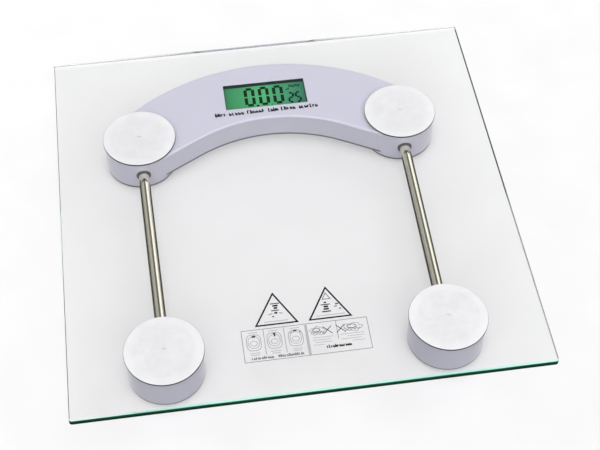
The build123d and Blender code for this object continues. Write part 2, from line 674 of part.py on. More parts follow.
def positive_contact():
    """A strip against the cell's rim, with a tail through the well's roof."""
    y = COIN_Y + COIN_RADIUS + CONTACT_GAUGE / 2
    low = COIN_BOTTOM + CONTACT_LIFT
    return slab(COIN_X, y, low, WELL_TOP + CONTACT_TAIL, CONTACT_WIDTH, CONTACT_GAUGE)


def negative_contact():
    """A leaf under the well's roof with two fingers pressed to the cell, and a tail through the roof."""
    tail_y = COIN_Y - COIN_RADIUS - CONTACT_GAUGE / 2
    under_roof = WELL_CEILING - CONTACT_GAUGE
    leaf_y = COIN_Y - COIN_RADIUS / 2
    leaf = slab(COIN_X, leaf_y, under_roof, WELL_CEILING, CONTACT_WIDTH, COIN_RADIUS + 2 * LEAF_END)
    leaf += slab(COIN_X, tail_y, under_roof, WELL_TOP + CONTACT_TAIL, CONTACT_WIDTH, CONTACT_GAUGE)
    for sign in (-1, 1):
        x = COIN_X + sign * FINGER_SPREAD
        leaf += slab(x, COIN_Y - FINGER_OFFSET, COIN_TOP, under_roof, FINGER_SIZE, FINGER_SIZE)
    return leaf


def lead_landing(bend, screw):
    """Where a straight lead lands beside the screw when it clears the axis by the set distance."""
    run, rise = screw[0] - bend[0], screw[1] - bend[1]
    turn = math.atan2(rise, run) + math.asin(LEAD_PAST_SCREW / math.hypot(run, rise))
    return bend[1] + run * math.tan(turn)


def battery_leads():
    level = PCB_BOTTOM - LEAD_RADIUS
    bend_x = COIN_X + LEAD_BEND
    screw = PCB_SCREWS[0]
    leads = []
    for sign in (-1, 1):
        y = COIN_Y + sign * (COIN_RADIUS + CONTACT_GAUGE + LEAD_RADIUS)
        board_y = lead_landing((bend_x, y), screw) if sign < 0 else LCD_Y + BACK_LEAD_OFFSET
        start = (COIN_X - LEAD_START, y, WELL_TOP + LEAD_RADIUS)
        leads.append(along_route([start, (bend_x, y, level), (screw[0], board_y, level)], LEAD_RADIUS))
    return group(leads)


def battery_door():
    """A lid on two hinge pins, its hinge edge rounded about them, with a thumb groove by the free edge."""
    round_edge = DOOR_THICKNESS / 2
    door_top = ARCH_BOTTOM + DOOR_THICKNESS
    flat = slab(COIN_X + round_edge / 2, COIN_Y, ARCH_BOTTOM, door_top, DOOR_WIDTH - round_edge, DOOR_DEPTH)
    free = flat.edges().filter_by(Axis.Z).sort_by(Axis.X)[-2:]
    door = fillet(free, DOOR_CORNER)
    half = DOOR_DEPTH / 2
    for reach, radius in ((half, round_edge), (half + DOOR_PIN_LENGTH, DOOR_PIN_RADIUS)):
        ends = [(DOOR_HINGE_X, COIN_Y + sign * reach, DOOR_HINGE_Z) for sign in (-1, 1)]
        door += rod(*ends, radius)
    width, depth, height = DOOR_GROOVE
    groove_x = COIN_X + DOOR_WIDTH / 2 - DOOR_GROOVE_INSET
    return door - slab(groove_x, COIN_Y, ARCH_BOTTOM, ARCH_BOTTOM + height, width, depth)


def unit_button():
    """A button held by its flange over the cover's hole."""
    flange = COVER_TOP + BUTTON_PLAY
    body = disc(BUTTON_X, BUTTON_Y, ARCH_BOTTOM + BUTTON_RECESS, flange, BUTTON_RADIUS)
    body = fillet(body.faces().sort_by(Axis.Z)[0].edges(), BUTTON_EDGE)
    flange_radius = BUTTON_RADIUS + BUTTON_FLANGE
    return body + disc(BUTTON_X, BUTTON_Y, flange, flange + BUTTON_FLANGE_HEIGHT, flange_radius)


def unit_switch():
    bottom = PCB_BOTTOM - SWITCH_HEIGHT
    body = slab(BUTTON_X, BUTTON_Y, bottom, PCB_BOTTOM, SWITCH_SIZE, SWITCH_SIZE)
    return body - disc(BUTTON_X, BUTTON_Y, bottom, bottom + SWITCH_BORE, PLUNGER_RADIUS + PLUNGER_CLEARANCE)


def switch_plunger():
    button_top = COVER_TOP + BUTTON_PLAY + BUTTON_FLANGE_HEIGHT
    bore_top = PCB_BOTTOM - SWITCH_HEIGHT + SWITCH_BORE
    top = bore_top - PLUNGER_END_GAP - BUTTON_TRAVEL
    return disc(BUTTON_X, BUTTON_Y, button_top, top, PLUNGER_RADIUS)


def save(name, shape):
    export_step(shape, os.path.join("parts", f"{name}.step"))


def main():
    os.makedirs("parts", exist_ok=True)
    save("glass_platform", glass_platform())
    save("display_housing", display_housing())
    save("housing_cover", housing_cover())
    for place in PODS:
        save(f"{place}_cap", cap(place))
        save(f"{place}_bond_pad", bond_pad(place))
        save(f"{place}_load_cell", load_cell(place))
        save(f"{place}_strain_gauge", strain_gauge(place))
        save(f"{place}_foot", foot(place))
        save(f"{place}_rubber_pad", rubber_pad(place))
        save(f"{place}_tube_grommet", tube_grommet(place))
        save(f"{place}_cell_cable", cell_cable(place))
    for side in SIDES:
        save(f"front_{side}_pod", front_pod(f"front_{side}"))
        save(f"{side}_tube", tube(side))
    save("main_pcb", main_pcb())
    save("controller_chip", controller_chip())
    save("board_components", board_components())
    save("lcd_panel", lcd_panel())
    save("lcd_backlight", lcd_backlight())
    save("lcd_contact_strip", contact_strip())
    save("lcd_frame", lcd_frame())
    save("coin_cell", coin_cell())
    save("battery_contact_positive", positive_contact())
    save("battery_contact_negative", negative_contact())
    save("battery_leads", battery_leads())
    save("battery_door", battery_door())
    save("unit_button", unit_button())
    save("unit_switch", unit_switch())
    save("unit_switch_plunger", switch_plunger())
    save("cap_screws", group([cap_screw(place) for place in PODS]))
    cells = [corner for place in PODS for corner in cell_corners(place)]
    cell_length = CELL_THICKNESS + CELL_SCREW_BITE
    save("load_cell_screws", group([cross_screw(corner, CELL_BOTTOM, cell_length) for corner in cells]))
    under_cover = ARCH_BOTTOM + HEAD_HEIGHT
    covers = [cross_screw(place, under_cover, COVER_SCREW_LENGTH) for place in cover_screw_places()]
    save("cover_screws", group(covers))
    board_length = PCB_THICKNESS + PCB_SCREW_BITE
    save("pcb_screws", group([cross_screw(place, PCB_BOTTOM, board_length) for place in PCB_SCREWS]))


main()
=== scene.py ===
"""Looks of a digital bathroom scale: glass platform, satin crescent, spun caps and polished tubes.

Metres throughout, in the frame of the CAD model: +Z up, +Y towards the display. CAD nodes keep their
meshes and get a material each. Added here are the inks, the display's segments and its dark surround.
"""

import json
import math

import bpy
import numpy as np
from mathutils import Matrix, Vector


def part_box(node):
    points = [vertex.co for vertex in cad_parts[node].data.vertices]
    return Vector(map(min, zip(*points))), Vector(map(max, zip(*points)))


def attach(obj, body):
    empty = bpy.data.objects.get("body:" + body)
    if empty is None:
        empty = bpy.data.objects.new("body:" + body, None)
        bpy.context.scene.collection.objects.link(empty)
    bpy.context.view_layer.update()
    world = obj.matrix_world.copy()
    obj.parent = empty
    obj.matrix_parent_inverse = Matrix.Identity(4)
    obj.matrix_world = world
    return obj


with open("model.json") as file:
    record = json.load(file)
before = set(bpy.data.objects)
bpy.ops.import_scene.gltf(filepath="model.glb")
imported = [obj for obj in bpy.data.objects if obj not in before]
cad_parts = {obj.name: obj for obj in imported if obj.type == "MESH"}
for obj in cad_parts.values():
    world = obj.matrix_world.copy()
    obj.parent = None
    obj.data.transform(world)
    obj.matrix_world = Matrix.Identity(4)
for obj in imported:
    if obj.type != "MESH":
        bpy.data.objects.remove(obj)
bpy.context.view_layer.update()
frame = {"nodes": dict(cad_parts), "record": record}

MM = 0.001
ROOT_BODY = "scale_body"
PLACES = ("front_left", "front_right", "back_left", "back_right")


# Places read from the frame


def middle(node):
    low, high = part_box(node)
    return (low + high) / 2


GLASS_LOW, GLASS_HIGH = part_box("glass_platform")
POD_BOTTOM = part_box("front_left_pod")[0].z
POD_REACH = (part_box("front_left_pod")[1].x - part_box("front_left_pod")[0].x) / 2
CRESCENT_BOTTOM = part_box("housing_cover")[0].z
LCD_LOW, LCD_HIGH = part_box("lcd_panel")
LCD_TOP = LCD_HIGH.z
HOUSING_EDGE_RISE = 0.6 * MM  # the housing's pod rims stand this far over the crescent's top face
ARCH_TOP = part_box("display_housing")[1].z - HOUSING_EDGE_RISE

# Sizes of what is printed and of what lies in the display's window
WINDOW_MIDDLE = Vector((0.0, 104.0)) * MM
WINDOW_SIZE = Vector((59.0, 24.0)) * MM
INK_HEIGHT = 0.04 * MM


# Camera, world, lights and floor

CAMERA_TARGET = Vector((8.6, -13.6, 20.0)) * MM
CAMERA_DISTANCE = 888.6 * MM
CAMERA_AZIMUTH = -8.39  # degrees; 0 looks along +Y
CAMERA_ELEVATION = 51.81
CAMERA_ROLL = 0.2
CAMERA_LENS = 79.1

FLOOR_GLOW = 0.386  # the light that the floor sheet gives off
FLOOR_REACH = 4.0
SOFTBOX_SIZE = 0.7


def make_camera():
    """A level camera on a sphere round its target, rolled by a fraction of a degree."""
    turn = math.radians(CAMERA_AZIMUTH)
    rise = math.radians(CAMERA_ELEVATION)
    back = Vector((math.sin(turn) * math.cos(rise), -math.cos(turn) * math.cos(rise), math.sin(rise)))
    data = bpy.data.cameras.new("camera")
    data.lens = CAMERA_LENS
    data.sensor_width = 36.0
    camera = bpy.data.objects.new("camera", data)
    level = (-back).to_track_quat("-Z", "Y").to_matrix().to_4x4()
    roll = Matrix.Rotation(math.radians(CAMERA_ROLL), 4, "Z")
    camera.matrix_world = Matrix.Translation(CAMERA_TARGET + back * CAMERA_DISTANCE) @ level @ roll
    bpy.context.collection.objects.link(camera)
    bpy.context.scene.camera = camera


def add(tree, kind, settings=None, links=None):
    """Adds a node, sets its properties, and fills its inputs with constants or with other nodes' outputs."""
    made = tree.nodes.new(kind)
    for name, value in (settings or {}).items():
        setattr(made, name, value)
    for name, value in (links or {}).items():
        socket = made.inputs[name]
        if isinstance(value, bpy.types.NodeSocket):
            tree.links.new(value, socket)
        else:
            socket.default_value = value
    return made


def linear(code):
    """sRGB hex such as 'd0d0e4' to linear RGBA."""
    values = np.array([int(code[i : i + 2], 16) for i in (0, 2, 4)]) / 255
    light = np.where(values <= 0.04045, values / 12.92, ((values + 0.055) / 1.055) ** 2.4)
    return (*light.tolist(), 1.0)


def make_world():
    """A lamp tent: panels overhead, at the right and in front, a grey one at the left, dark behind."""
    world = bpy.data.worlds.new("lamp tent")
    world.use_nodes = True
    tree = world.node_tree
    tree.nodes.clear()
    where = add(tree, "ShaderNodeTexCoord").outputs["Generated"]
    split = add(tree, "ShaderNodeSeparateXYZ", links={"Vector": where})

    def band(axis, low, high, dark, light):
        """Rises smoothly from dark to light as the direction's component goes from low to high."""
        made = add(
            tree,
            "ShaderNodeMapRange",
            {"interpolation_type": "SMOOTHSTEP"},
            {"Value": split.outputs[axis], 1: low, 2: high, 3: dark, 4: light},
        )
        return made.outputs[0]

    def combine(operation, one, other):
        return add(tree, "ShaderNodeMath", {"operation": operation}, {0: one, 1: other}).outputs[0]

    # The overhead panel shows at less than half its strength in mirror-like surfaces, as through a scrim.
    mirrored = add(tree, "ShaderNodeLightPath").outputs["Is Glossy Ray"]
    scrim = add(tree, "ShaderNodeMapRange", links={"Value": mirrored, 3: 1.0, 4: 0.4}).outputs[0]
    overhead = combine("MULTIPLY", band("Z", 0.88, 0.96, 0.0, 2.55), scrim)
    right = combine("MULTIPLY", band("X", 0.17, 0.31, 0.0, 1.5), band("Z", 0.15, 0.4, 0.1, 1.0))
    right = combine("MULTIPLY", right, band("Z", 0.68, 0.80, 1.0, 0.15))
    left = combine("MULTIPLY", band("X", -0.12, -0.35, 0.0, 0.42), band("Z", 0.1, 0.35, 0.3, 1.0))
    front = combine("MULTIPLY", band("Y", 0.0, -0.7, 0.0, 2.25), band("Z", 0.23, 0.42, 0.2, 1.0))
    level = combine("MAXIMUM", combine("MAXIMUM", overhead, right), combine("MAXIMUM", left, front))
    level = combine("ADD", level, 0.14)
    background = add(tree, "ShaderNodeBackground", links={"Strength": level})
    background.inputs["Color"].default_value = linear("ffffff")
    output = add(tree, "ShaderNodeOutputWorld")
    tree.links.new(background.outputs[0], output.inputs["Surface"])
    bpy.context.scene.world = world


def make_lamp(name, place, size, power):
    """A square soft lamp that faces the scale."""
    data = bpy.data.lights.new(name, "AREA")
    data.shape = "SQUARE"
    data.size = size
    data.energy = power
    lamp = bpy.data.objects.new(name, data)
    lamp.visible_glossy = False
    lamp.visible_transmission = False
    lamp.location = place
    lamp.rotation_mode = "QUATERNION"
    lamp.rotation_quaternion = (-Vector(place)).to_track_quat("-Z", "Y")
    bpy.context.collection.objects.link(lamp)


def start_material(name):
    """A new material with an empty tree, its Principled shader, its output and Object coordinates."""
    made = bpy.data.materials.new(name)
    made.use_nodes = True
    tree = made.node_tree
    tree.nodes.clear()
    shader = add(tree, "ShaderNodeBsdfPrincipled")
    output = add(tree, "ShaderNodeOutputMaterial")
    tree.links.new(shader.outputs[0], output.inputs["Surface"])
    place = add(tree, "ShaderNodeTexCoord").outputs["Object"]
    return made, tree, shader, output, place


def noise(tree, place, grain_mm, detail=2.0):
    """Soft noise whose blobs are about grain_mm across."""
    links = {"Vector": place, "Scale": 1 / (grain_mm * MM), "Detail": detail}
    return add(tree, "ShaderNodeTexNoise", links=links).outputs[0]


def ramp(tree, source, stops):
    """A colour ramp from (place, colour) pairs."""
    made = add(tree, "ShaderNodeValToRGB", links={"Fac": source})
    elements = made.color_ramp.elements
    while len(elements) < len(stops):
        elements.new(1.0)
    for element, (place, colour) in zip(elements, stops):
        element.position = place
        element.color = colour
    return made.outputs[0]


def spread(tree, source, low, high):
    """Noise of 0 to 1, which mostly lies near a half, stretched to run from low to high."""
    links = {"Value": source, 1: 0.3, 2: 0.7, 3: low, 4: high}
    return add(tree, "ShaderNodeMapRange", links=links).outputs[0]


def relief(tree, height, depth_mm):
    """A bump whose full height is depth_mm."""
    links = {"Height": height, "Distance": depth_mm * MM, "Strength": 1.0}
    return add(tree, "ShaderNodeBump", links=links).outputs[0]


def two_tone(tree, source, one, other):
    return ramp(tree, source, ((0.3, linear(one)), (0.7, linear(other))))


# Materials


def pale_floor():
    """Matt laminate sheet: even, nearly white."""
    made, tree, shader, output, place = start_material("pale laminate floor")
    tone = two_tone(tree, noise(tree, place, 40.0), "b0b0b0", "b4b4b4")
    tree.links.new(tone, shader.inputs["Base Color"])
    shader.inputs["Roughness"].default_value = 0.9
    shader.inputs["Specular IOR Level"].default_value = 0.0
    # The sheet is lit from below as well, as on a photographer's light table.
    shader.inputs["Emission Color"].default_value = linear("f6f6f6")
    shader.inputs["Emission Strength"].default_value = FLOOR_GLOW
    # Mirror-like steel sees a darker floor than the eye does, as beside a lamp tent with open sides.
    rays = add(tree, "ShaderNodeLightPath")
    dark = add(tree, "ShaderNodeBsdfDiffuse", links={"Color": linear("45433a")})
    past_glass = add(tree, "ShaderNodeMixShader", links={"Fac": rays.outputs["Is Transmission Ray"]})
    tree.links.new(dark.outputs[0], past_glass.inputs[1])
    tree.links.new(shader.outputs[0], past_glass.inputs[2])
    mirrored = add(tree, "ShaderNodeMixShader", links={"Fac": rays.outputs["Is Glossy Ray"]})
    tree.links.new(shader.outputs[0], mirrored.inputs[1])
    tree.links.new(past_glass.outputs[0], mirrored.inputs[2])
    # The sheet has one face: from below it is not there, so the underside can be looked at.
    clear = add(tree, "ShaderNodeBsdfTransparent")
    beneath = add(tree, "ShaderNodeNewGeometry").outputs["Backfacing"]
    one_sided = add(tree, "ShaderNodeMixShader", links={"Fac": beneath})
    tree.links.new(mirrored.outputs[0], one_sided.inputs[1])
    tree.links.new(clear.outputs[0], one_sided.inputs[2])
    tree.links.new(one_sided.outputs[0], output.inputs["Surface"])
    return made


def float_glass():
    """Tempered float glass: clear through its 5 mm, deep green along its 300 mm, with polished arrises. Its
    sides and the line along its front carry painted glow.
    """
    made, tree, shader, output, place = start_material("tempered float glass")
    shader.inputs["Base Color"].default_value = (1, 1, 1, 1)
    shader.inputs["Transmission Weight"].default_value = 1.0
    shader.inputs["IOR"].default_value = 1.52
    # Faint smears, a few centimetres across, as on any glass that is stood on.
    smears = spread(tree, noise(tree, place, 35.0, 4.0), 0.0, 0.012)
    tree.links.new(smears, shader.inputs["Roughness"])
    # Light that has run along the plate leaves at its sides: aqua under the upper arris, near-black green
    # below. It is painted light: the sides carry a glowing green that darkens with depth, and only camera
    # rays see it.
    facing = add(tree, "ShaderNodeNewGeometry").outputs["True Normal"]
    upward = add(tree, "ShaderNodeSeparateXYZ", links={"Vector": facing}).outputs["Z"]
    steep = add(tree, "ShaderNodeMath", {"operation": "ABSOLUTE"}, {0: upward}).outputs[0]
    side = add(tree, "ShaderNodeMath", {"operation": "LESS_THAN"}, {0: steep, 1: 0.5}).outputs[0]
    height = add(tree, "ShaderNodeSeparateXYZ", links={"Vector": place}).outputs["Z"]
    depth_range = {"Value": height, 1: GLASS_HIGH.z, 2: GLASS_LOW.z}
    down = add(tree, "ShaderNodeMapRange", links=depth_range).outputs[0]
    ripple = spread(tree, noise(tree, place, 30.0, 3.0), -0.06, 0.06)
    down = add(tree, "ShaderNodeMath", {"operation": "ADD"}, {0: down, 1: ripple}).outputs[0]
    greens = ((0.0, "7fd0bd"), (0.16, "2f8068"), (0.32, "06301c"), (1.0, "011207"))
    stops = [(share, linear(code)) for share, code in greens]
    deep = ramp(tree, down, stops)
    painted_edge_glow = add(tree, "ShaderNodeBsdfPrincipled", links={"Base Color": deep, "Roughness": 0.12})
    tree.links.new(deep, painted_edge_glow.inputs["Emission Color"])
    painted_edge_glow.inputs["Emission Strength"].default_value = 0.35
    rays = add(tree, "ShaderNodeLightPath")
    direct = add(tree, "ShaderNodeMixShader", links={"Fac": rays.outputs["Is Camera Ray"]})
    tree.links.new(shader.outputs[0], direct.inputs[1])
    tree.links.new(painted_edge_glow.outputs[0], direct.inputs[2])
    # A painted highlight: the last millimetre of the face along the front glows as a bright aqua line, for
    # camera rays only, in place of the same light.
    depth = add(tree, "ShaderNodeSeparateXYZ", links={"Vector": place}).outputs["Y"]
    near = {"Value": depth, 1: GLASS_LOW.y + 1.5 * MM, 2: GLASS_LOW.y + 0.3 * MM, 3: 0.0, 4: 0.7}
    close = add(tree, "ShaderNodeMapRange", links=near).outputs[0]
    # The painted line fades out towards the left corner.
    sideways = add(tree, "ShaderNodeSeparateXYZ", links={"Vector": place}).outputs["X"]
    fade = {"Value": sideways, 1: GLASS_LOW.x, 2: GLASS_LOW.x + 70 * MM, 3: 0.0, 4: 1.0}
    faded = add(tree, "ShaderNodeMapRange", links=fade).outputs[0]
    fringe_share = add(tree, "ShaderNodeMath", {"operation": "MULTIPLY"}, {0: close, 1: faded}).outputs[0]
    aqua = add(tree, "ShaderNodeEmission", links={"Color": linear("b4fff0"), "Strength": 1.0})
    painted_front_line = add(tree, "ShaderNodeMixShader", links={"Fac": fringe_share})
    tree.links.new(shader.outputs[0], painted_front_line.inputs[1])
    tree.links.new(aqua.outputs[0], painted_front_line.inputs[2])
    face = add(tree, "ShaderNodeMixShader", links={"Fac": rays.outputs["Is Camera Ray"]})
    tree.links.new(shader.outputs[0], face.inputs[1])
    tree.links.new(painted_front_line.outputs[0], face.inputs[2])
    cut_edge = add(tree, "ShaderNodeMixShader", links={"Fac": side})
    tree.links.new(face.outputs[0], cut_edge.inputs[1])
    tree.links.new(direct.outputs[0], cut_edge.inputs[2])
    # Lamps reach what lies below through a plain tint, so that no light is lost in the glass.
    through = add(tree, "ShaderNodeBsdfTransparent", links={"Color": (0.995, 0.972, 0.99, 1)})
    for_lamps = add(tree, "ShaderNodeMixShader", links={"Fac": rays.outputs["Is Shadow Ray"]})
    tree.links.new(cut_edge.outputs[0], for_lamps.inputs[1])
    tree.links.new(through.outputs[0], for_lamps.inputs[2])
    for_matt = add(tree, "ShaderNodeMixShader", links={"Fac": rays.outputs["Is Diffuse Ray"]})
    tree.links.new(for_lamps.outputs[0], for_matt.inputs[1])
    tree.links.new(through.outputs[0], for_matt.inputs[2])
    tree.links.new(for_matt.outputs[0], output.inputs["Surface"])
    # The iron in the melt takes mostly red: per metre 4 of red, 2 of green and 2.8 of blue.
    body = add(tree, "ShaderNodeVolumeAbsorption", links={"Color": (0.0, 0.5, 0.3, 1), "Density": 4.0})
    tree.links.new(body.outputs[0], output.inputs["Volume"])
    return made


def clear_adhesive():
    """Cured clear adhesive between cap and glass: invisible but for a very faint cloudiness."""
    made, tree, shader, output, place = start_material("clear cured adhesive")
    cloud = two_tone(tree, noise(tree, place, 3.0, 3.0), "fdfdfd", "ffffff")
    clear = add(tree, "ShaderNodeBsdfTransparent", links={"Color": cloud})
    tree.links.new(clear.outputs[0], output.inputs["Surface"])
    return made


def darkened(tree, colour, painted_shade):
    """A colour multiplied by a painted shade."""
    links = {"Fac": 1.0, "Color1": colour, "Color2": painted_shade}
    return add(tree, "ShaderNodeMixRGB", {"blend_type": "MULTIPLY"}, links).outputs[0]


def silver_lilac_paint(name, one, other, crescent=False):
    """Satin silver paint with a lilac cast on moulded ABS: fine flake, a soft lobe, slight orange peel.
    The lowest millimetre or two of each wall is darkened in its colour: painted shade along the walls' bottom
    edge."""
    made, tree, shader, output, place = start_material(name)
    # Flake is 0.05 mm in the real paint and is drawn at 0.4 mm, the least that shows.
    flake = add(tree, "ShaderNodeTexVoronoi", links={"Vector": place, "Scale": 1 / (0.4 * MM)})
    grey = add(tree, "ShaderNodeRGBToBW", links={"Color": flake.outputs["Color"]}).outputs[0]
    tone = two_tone(tree, grey, one, other)
    height = add(tree, "ShaderNodeSeparateXYZ", links={"Vector": place}).outputs["Z"]
    foot = POD_BOTTOM
    if crescent:
        nearest = pod_distance(tree, place)
        past = {"Value": nearest, 1: POD_REACH, 2: POD_REACH + 0.6 * MM, 3: POD_BOTTOM, 4: CRESCENT_BOTTOM}
        foot = add(tree, "ShaderNodeMapRange", links=past).outputs[0]
    lift = add(tree, "ShaderNodeMath", {"operation": "SUBTRACT"}, {0: height, 1: foot}).outputs[0]
    # Painted shade: the colour falls to 0.15 of itself at the walls' bottom edge and is back to full 1.9 mm
    # above it.
    painted_shade = {"Value": lift, 1: 0.6 * MM, 2: 1.9 * MM, 3: 0.15, 4: 1.0}
    dark = add(tree, "ShaderNodeMapRange", links=painted_shade).outputs[0]
    tree.links.new(darkened(tree, tone, dark), shader.inputs["Base Color"])
    shader.inputs["Metallic"].default_value = 0.25
    shader.inputs["Sheen Weight"].default_value = 0.8
    shader.inputs["Sheen Roughness"].default_value = 0.35
    tree.links.new(spread(tree, noise(tree, place, 6.0), 0.40, 0.46), shader.inputs["Roughness"])
    peel = relief(tree, noise(tree, place, 1.6), 0.006)
    tree.links.new(peel, shader.inputs["Normal"])
    return made


def pod_distance(tree, place):
    """Level distance from the nearer of the two back pods' axes."""
    gaps = [level_offset(tree, place, middle(cap))[1] for cap in ("back_left_cap", "back_right_cap")]
    return add(tree, "ShaderNodeMath", {"operation": "MINIMUM"}, {0: gaps[0], 1: gaps[1]}).outputs[0]


def level_offset(tree, place, centre):
    """The level vector from an upright axis to the point, and its length."""
    across = add(tree, "ShaderNodeVectorMath", {"operation": "SUBTRACT"}, {0: place, 1: centre}).outputs[0]
    flat = add(tree, "ShaderNodeVectorMath", {"operation": "MULTIPLY"}, {0: across, 1: (1.0, 1.0, 0.0)})
    reach = add(tree, "ShaderNodeVectorMath", {"operation": "LENGTH"}, {0: flat.outputs[0]})
    return flat.outputs[0], reach.outputs["Value"]


def moulded_plastic(name, one, other, roughness, texture_mm=0.5, depth_mm=0.02):
    """Moulded plastic with a spark-eroded texture: fine even grain and a faint drift in tone."""
    made, tree, shader, output, place = start_material(name)
    tone = two_tone(tree, noise(tree, place, 12.0, 3.0), one, other)
    tree.links.new(tone, shader.inputs["Base Color"])
    sheen = spread(tree, noise(tree, place, 4.0), roughness - 0.05, roughness + 0.05)
    tree.links.new(sheen, shader.inputs["Roughness"])
    tree.links.new(relief(tree, noise(tree, place, texture_mm), depth_mm), shader.inputs["Normal"])
    return made


def rings(tree, place, centre, pitch_mm):
    """The level vector from an upright axis, and concentric ridges: a sine of its length."""
    flat, reach = level_offset(tree, place, centre)
    turn = 2 * math.pi / (pitch_mm * MM)
    phase = add(tree, "ShaderNodeMath", {"operation": "MULTIPLY"}, {0: reach, 1: turn}).outputs[0]
    return flat, add(tree, "ShaderNodeMath", {"operation": "SINE"}, {0: phase}).outputs[0]


def spun_aluminium(centre):
    """Aluminium faced on a lathe: fine rings that fan the light out into soft opposite wedges."""
    made, tree, shader, output, place = start_material("spun aluminium")
    flat, wave = rings(tree, place, centre, 0.9)
    face = two_tone(tree, noise(tree, place, 9.0), "f4f5f6", "fafbfb")
    facing = add(tree, "ShaderNodeNewGeometry").outputs["True Normal"]
    upward = add(tree, "ShaderNodeSeparateXYZ", links={"Vector": facing}).outputs["Z"]
    # Painted reflection: the turned rim's side faces are coloured dark, as if mirroring the dark gap beside
    # it, so the rim reads as a thin dark line.
    tone = ramp(tree, upward, ((0.7, linear("262e2c")), (0.95, linear("ffffff"))))
    tree.links.new(darkened(tree, face, tone), shader.inputs["Base Color"])
    shader.inputs["Metallic"].default_value = 0.4
    tree.links.new(spread(tree, noise(tree, place, 5.0, 3.0), 0.42, 0.5), shader.inputs["Roughness"])
    shader.inputs["Anisotropic"].default_value = 0.4
    along = add(tree, "ShaderNodeVectorMath", {"operation": "CROSS_PRODUCT"}, {0: (0.0, 0.0, 1.0), 1: flat})
    tangent = add(tree, "ShaderNodeVectorMath", {"operation": "NORMALIZE"}, {0: along.outputs[0]}).outputs[0]
    tree.links.new(tangent, shader.inputs["Tangent"])
    tree.links.new(relief(tree, wave, 0.002), shader.inputs["Normal"])
    return made


def polished_stainless():
    """Drawn and polished stainless tube: mirror-like, warm, with faint lines along its length."""
    made, tree, shader, output, place = start_material("polished stainless steel")
    drawn = add(tree, "ShaderNodeMapping", links={"Vector": place, "Scale": (1.0, 0.02, 1.0)}).outputs[0]
    lines = noise(tree, drawn, 0.35, 2.0)
    tone = two_tone(tree, lines, "e2dcca", "ebe6d8")
    tree.links.new(tone, shader.inputs["Base Color"])
    shader.inputs["Metallic"].default_value = 1.0
    tree.links.new(spread(tree, lines, 0.08, 0.14), shader.inputs["Roughness"])
    tree.links.new(relief(tree, lines, 0.002), shader.inputs["Normal"])
    return made


def plated_steel(name, one, other, roughness):
    """Plated steel sheet or screw: cloudy zinc or nickel with a short rolled grain."""
    made, tree, shader, output, place = start_material(name)
    tone = two_tone(tree, noise(tree, place, 3.0, 4.0), one, other)
    tree.links.new(tone, shader.inputs["Base Color"])
    shader.inputs["Metallic"].default_value = 1.0
    grain = add(tree, "ShaderNodeMapping", links={"Vector": place, "Scale": (0.1, 1.0, 1.0)}).outputs[0]
    rolled = noise(tree, grain, 0.4)
    tree.links.new(spread(tree, rolled, roughness - 0.06, roughness + 0.06), shader.inputs["Roughness"])
    tree.links.new(relief(tree, rolled, 0.004), shader.inputs["Normal"])
    return made


def display_face():
    """Positive liquid crystal display over a green light guide: brighter in the middle, glossy."""
    made, tree, shader, output, place = start_material("green display polariser")
    gradient = add(tree, "ShaderNodeSeparateXYZ", links={"Vector": place}).outputs["X"]
    window = {"Value": gradient, 1: LCD_LOW.x, 2: LCD_HIGH.x}
    across = add(tree, "ShaderNodeMapRange", links=window).outputs[0]
    greens = ((0.0, "2b764d"), (0.45, "4aa56b"), (0.75, "3b8862"), (1.0, "2a6a56"))
    tone = ramp(tree, across, [(share, linear(code)) for share, code in greens])
    tree.links.new(tone, shader.inputs["Base Color"])
    tree.links.new(tone, shader.inputs["Emission Color"])
    shader.inputs["Emission Strength"].default_value = 0.12
    tree.links.new(spread(tree, noise(tree, place, 3.0), 0.12, 0.2), shader.inputs["Roughness"])
    return made


def segment_ink():
    """A switched-on segment: the polarised light it stops leaves near-black green."""
    made, tree, shader, output, place = start_material("dark display segment")
    tone = two_tone(tree, noise(tree, place, 2.0), "001a09", "01240f")
    tree.links.new(tone, shader.inputs["Base Color"])
    shader.inputs["Roughness"].default_value = 0.3
    shader.inputs["Specular IOR Level"].default_value = 0.0
    return made


def screen_ink(name, one, other):
    """Screen-printed ink: matt, slightly uneven where the mesh left it."""
    made, tree, shader, output, place = start_material(name)
    tone = two_tone(tree, noise(tree, place, 0.5, 3.0), one, other)
    tree.links.new(tone, shader.inputs["Base Color"])
    tree.links.new(spread(tree, noise(tree, place, 0.8), 0.6, 0.8), shader.inputs["Roughness"])
    shader.inputs["Specular IOR Level"].default_value = 0.1
    return made


def solder_mask():
    """Glass-epoxy board under green solder mask, with the weave just showing."""
    made, tree, shader, output, place = start_material("green solder mask")
    warp, weft = linear("0d4a24"), linear("0f5229")
    thread = {"Vector": place, "Scale": 1 / (1.0 * MM), "Color1": warp, "Color2": weft}
    weave = add(tree, "ShaderNodeTexChecker", links=thread)
    tree.links.new(weave.outputs[0], shader.inputs["Base Color"])
    tree.links.new(spread(tree, noise(tree, place, 2.0), 0.25, 0.35), shader.inputs["Roughness"])
    return made


# Surfaces


def make_piece(name, points, faces, material, slot=None):
    """A mesh object at the origin from an (n, 3) array and an (m, 4) array of corners, riding on the body."""
    mesh = bpy.data.meshes.new(name)
    mesh.from_pydata(points.tolist(), [], faces.tolist())
    mesh.materials.append(material)
    mesh.update()
    piece = bpy.data.objects.new(name, mesh)
    bpy.context.collection.objects.link(piece)
    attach(piece, ROOT_BODY)
    return piece


